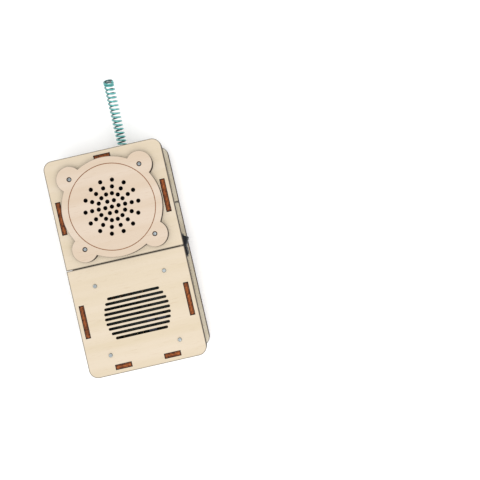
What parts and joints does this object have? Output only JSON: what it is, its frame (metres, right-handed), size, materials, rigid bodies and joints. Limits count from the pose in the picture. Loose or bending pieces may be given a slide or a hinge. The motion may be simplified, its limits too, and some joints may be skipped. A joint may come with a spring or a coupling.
{
  "type": "toy walkie talkie",
  "caption": "Handheld toy walkie talkie: flat plywood box with a lobed speaker cover, slotted grille, side rocker switch, talk button and a leaning coiled wire antenna.",
  "frame": {"origin": "centre of the case's back face, on the battery cover, which is the face it lies on", "axes": "+Z out of the front through the loudspeaker, +Y along the case towards the antenna, +X to the right seen from the front"},
  "size_m": [0.0741, 0.1723, 0.0341],
  "materials": {
    "birch_plywood": "matte, laser cut",
    "steel_screws": "zinc plated",
    "white_nylon": "satin",
    "speaker_steel": "zinc plated",
    "black_paper": "pressed paper",
    "black_cloth": "coated cloth",
    "copper_wire": "enamelled",
    "ferrite": "ground",
    "brown_laminate": "satin",
    "green_laminate": "solder mask",
    "black_epoxy": "moulded",
    "tinned_steel": "bright",
    "capacitor_blue": "printed sleeve, plain",
    "ceramic_tan": "dipped",
    "resistor_beige": "lacquered",
    "grey_foam": "closed-cell foam",
    "black_plastic": "satin",
    "cell_jacket": "plain sleeve",
    "spring_steel": "nickel plated",
    "teal_enamel": "gloss enamel",
    "brass": "tinned",
    "red_insulation": "soft PVC",
    "black_insulation": "soft PVC",
    "yellow_insulation": "soft PVC"
  },
  "bodies": {
    "case": {"front_upper_panel": "birch_plywood", "front_lower_panel": "birch_plywood", "back_upper_panel": "birch_plywood", "left_wall": "birch_plywood", "right_wall": "birch_plywood", "top_wall": "birch_plywood", "bottom_wall": "birch_plywood", "speaker_cover": "birch_plywood", "cover_screws": "steel_screws", "clamp_washers": "steel_screws", "cover_nuts": "steel_screws", "board_screws": "steel_screws", "board_spacers": "white_nylon", "board_nuts": "steel_screws", "speaker_gasket": "black_paper", "speaker_basket": "speaker_steel", "speaker_surround": "black_cloth", "speaker_top_plate": "speaker_steel", "speaker_magnet": "ferrite", "speaker_yoke": "speaker_steel", "speaker_terminals": "brown_laminate", "circuit_board": "green_laminate", "radio_chip": "black_epoxy", "crystal": "tinned_steel", "tuning_can": "tinned_steel", "tuning_core": "ferrite", "electrolytic_capacitors": "capacitor_blue", "ceramic_capacitors": "ceramic_tan", "resistors": "resistor_beige", "transistors": "black_epoxy", "battery_tray": "black_plastic", "foam_tape": "grey_foam", "battery_cells": "cell_jacket", "battery_contacts": "spring_steel", "battery_springs": "spring_steel", "switch_housing": "black_plastic", "switch_terminals": "brass", "talk_switch": "black_plastic", "talk_dome": "spring_steel", "talk_pins": "tinned_steel", "antenna_leg": "teal_enamel", "antenna_lug": "brass", "speaker_wires": "red_insulation", "switch_wires": "black_insulation", "talk_wires": "yellow_insulation", "antenna_wire": "black_insulation"},
    "rocker": {"switch_rocker": "black_plastic"},
    "talk_button": {"talk_plunger": "black_plastic"},
    "cover": {"battery_cover": "birch_plywood"},
    "antenna": {"antenna_coil": "teal_enamel"},
    "speaker_motion": {"speaker_cone": "black_paper", "speaker_dust_cap": "black_paper", "voice_coil": "copper_wire"}
  },
  "joints": [
    {"name": "power_rocker", "type": "hinge", "parent": "case", "child": "rocker", "pos_m": [0.0336, 0, 0.014], "axis": [0, 0, 1], "range_deg": [0, 22]},
    {"name": "talk_press", "type": "slide", "parent": "case", "child": "talk_button", "axis": [1, 0, 0], "range_m": [0, 0.00025], "stiffness_N_per_m": 4000},
    {"name": "battery_cover_pull", "type": "slide", "parent": "case", "child": "cover", "axis": [0, 0, -1], "range_m": [0, 0.03]},
    {"name": "antenna_bend", "type": "hinge", "parent": "case", "child": "antenna", "pos_m": [0.0078, 0.0654, 0.014], "axis": [1, 0, 0], "range_deg": [-30, 20], "stiffness_Nm_per_rad": 0.01},
    {"name": "speaker_travel", "type": "slide", "parent": "case", "child": "speaker_motion", "axis": [0, 0, 1], "range_m": [-0.0005, 0.0005], "stiffness_N_per_m": 2000, "deforming": ["speaker_surround"]}
  ]
}
